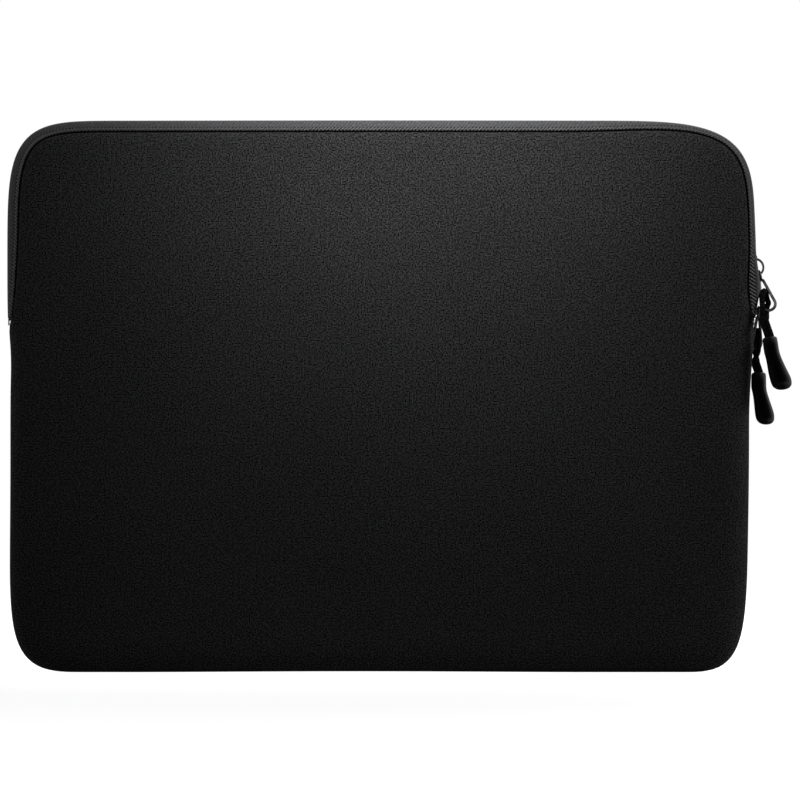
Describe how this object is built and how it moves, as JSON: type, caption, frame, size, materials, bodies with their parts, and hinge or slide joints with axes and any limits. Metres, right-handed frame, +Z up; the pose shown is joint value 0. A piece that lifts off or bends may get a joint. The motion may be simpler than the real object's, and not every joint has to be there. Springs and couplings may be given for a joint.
{
  "type": "laptop sleeve",
  "caption": "Slim padded laptop sleeve with rounded corners, a zip round three sides and corded zip pulls hanging from wire rings.",
  "frame": {"origin": "middle of the flat strip along the bottom edge that the sleeve stands on", "axes": "+Z up towards the zipped top edge, +X to the right seen from the front, along the sleeve's width, -Y out of the front panel"},
  "size_m": [0.3686, 0.0233, 0.26],
  "materials": {
    "shell_fabric": "woven stretch polyester over neoprene foam",
    "foam_padding": "closed-cell neoprene foam",
    "plush_lining": "short plush pile",
    "zip_tape": "herringbone woven zip tape",
    "zip_coil": "nylon coil, satin",
    "seam_binding": "folded woven binding",
    "zip_metal": "blackened crimp",
    "slider_metal": "gunmetal plated zinc",
    "ring_wire": "gunmetal plated steel wire",
    "pull_cord": "braided cord",
    "grip_rubber": "satin moulded rubber"
  },
  "bodies": {
    "sleeve": {"back_shell": "shell_fabric", "back_foam": "foam_padding", "back_lining": "plush_lining", "front_shell": "shell_fabric", "front_foam": "foam_padding", "front_lining": "plush_lining", "back_zip_tape": "zip_tape", "back_zip_coil": "zip_coil", "back_zip_binding": "seam_binding", "left_zip_tape": "zip_tape", "right_zip_tape": "zip_tape", "left_zip_coil": "zip_coil", "right_zip_coil": "zip_coil", "left_zip_binding": "seam_binding", "right_zip_binding": "seam_binding", "left_zip_stop": "zip_metal", "right_zip_stop": "zip_metal"},
    "flap": {"flap_shell": "shell_fabric", "flap_foam": "foam_padding", "flap_lining": "plush_lining", "flap_zip_tape": "zip_tape", "flap_zip_coil": "zip_coil", "flap_zip_binding": "seam_binding"},
    "slider_1_body": {"slider_1": "slider_metal", "bridge_1": "slider_metal"},
    "ring_1_body": {"ring_1": "ring_wire", "cord_1_hitch": "pull_cord"},
    "pull_1_body": {"cord_1_tail": "pull_cord", "grip_1": "grip_rubber"},
    "slider_2_body": {"slider_2": "slider_metal", "bridge_2": "slider_metal"},
    "ring_2_body": {"ring_2": "ring_wire", "cord_2_hitch": "pull_cord"},
    "pull_2_body": {"cord_2_tail": "pull_cord", "grip_2": "grip_rubber"}
  },
  "joints": [
    {"name": "mouth_open", "type": "hinge", "parent": "sleeve", "child": "flap", "pos_m": [0, -0.011, 0.222], "axis": [1, 0, 0], "range_deg": [0, 55]},
    {"name": "slider_1_slide", "type": "slide", "parent": "sleeve", "child": "slider_1_body", "axis": [0, 0, 1], "range_m": [0, 0.024]},
    {"name": "ring_1_swing", "type": "hinge", "parent": "slider_1_body", "child": "ring_1_body", "pos_m": [0.17835, 0, 0.1893], "axis": [0, -1, 0], "range_deg": [0, 100]},
    {"name": "pull_1_swing", "type": "hinge", "parent": "ring_1_body", "child": "pull_1_body", "pos_m": [0.1805, -0.00923, 0.16531], "axis": [-1, 0, 0], "range_deg": [0, 75]},
    {"name": "slider_2_slide", "type": "slide", "parent": "sleeve", "child": "slider_2_body", "axis": [0, 0, 1], "range_m": [0, 0.003]},
    {"name": "ring_2_swing", "type": "hinge", "parent": "slider_2_body", "child": "ring_2_body", "pos_m": [0.17835, 0, 0.1723], "axis": [0, -1, 0], "range_deg": [0, 100]},
    {"name": "pull_2_swing", "type": "hinge", "parent": "ring_2_body", "child": "pull_2_body", "pos_m": [0.17709, 0.0033, 0.14575], "axis": [1, 0, 0], "range_deg": [0, 75]}
  ]
}
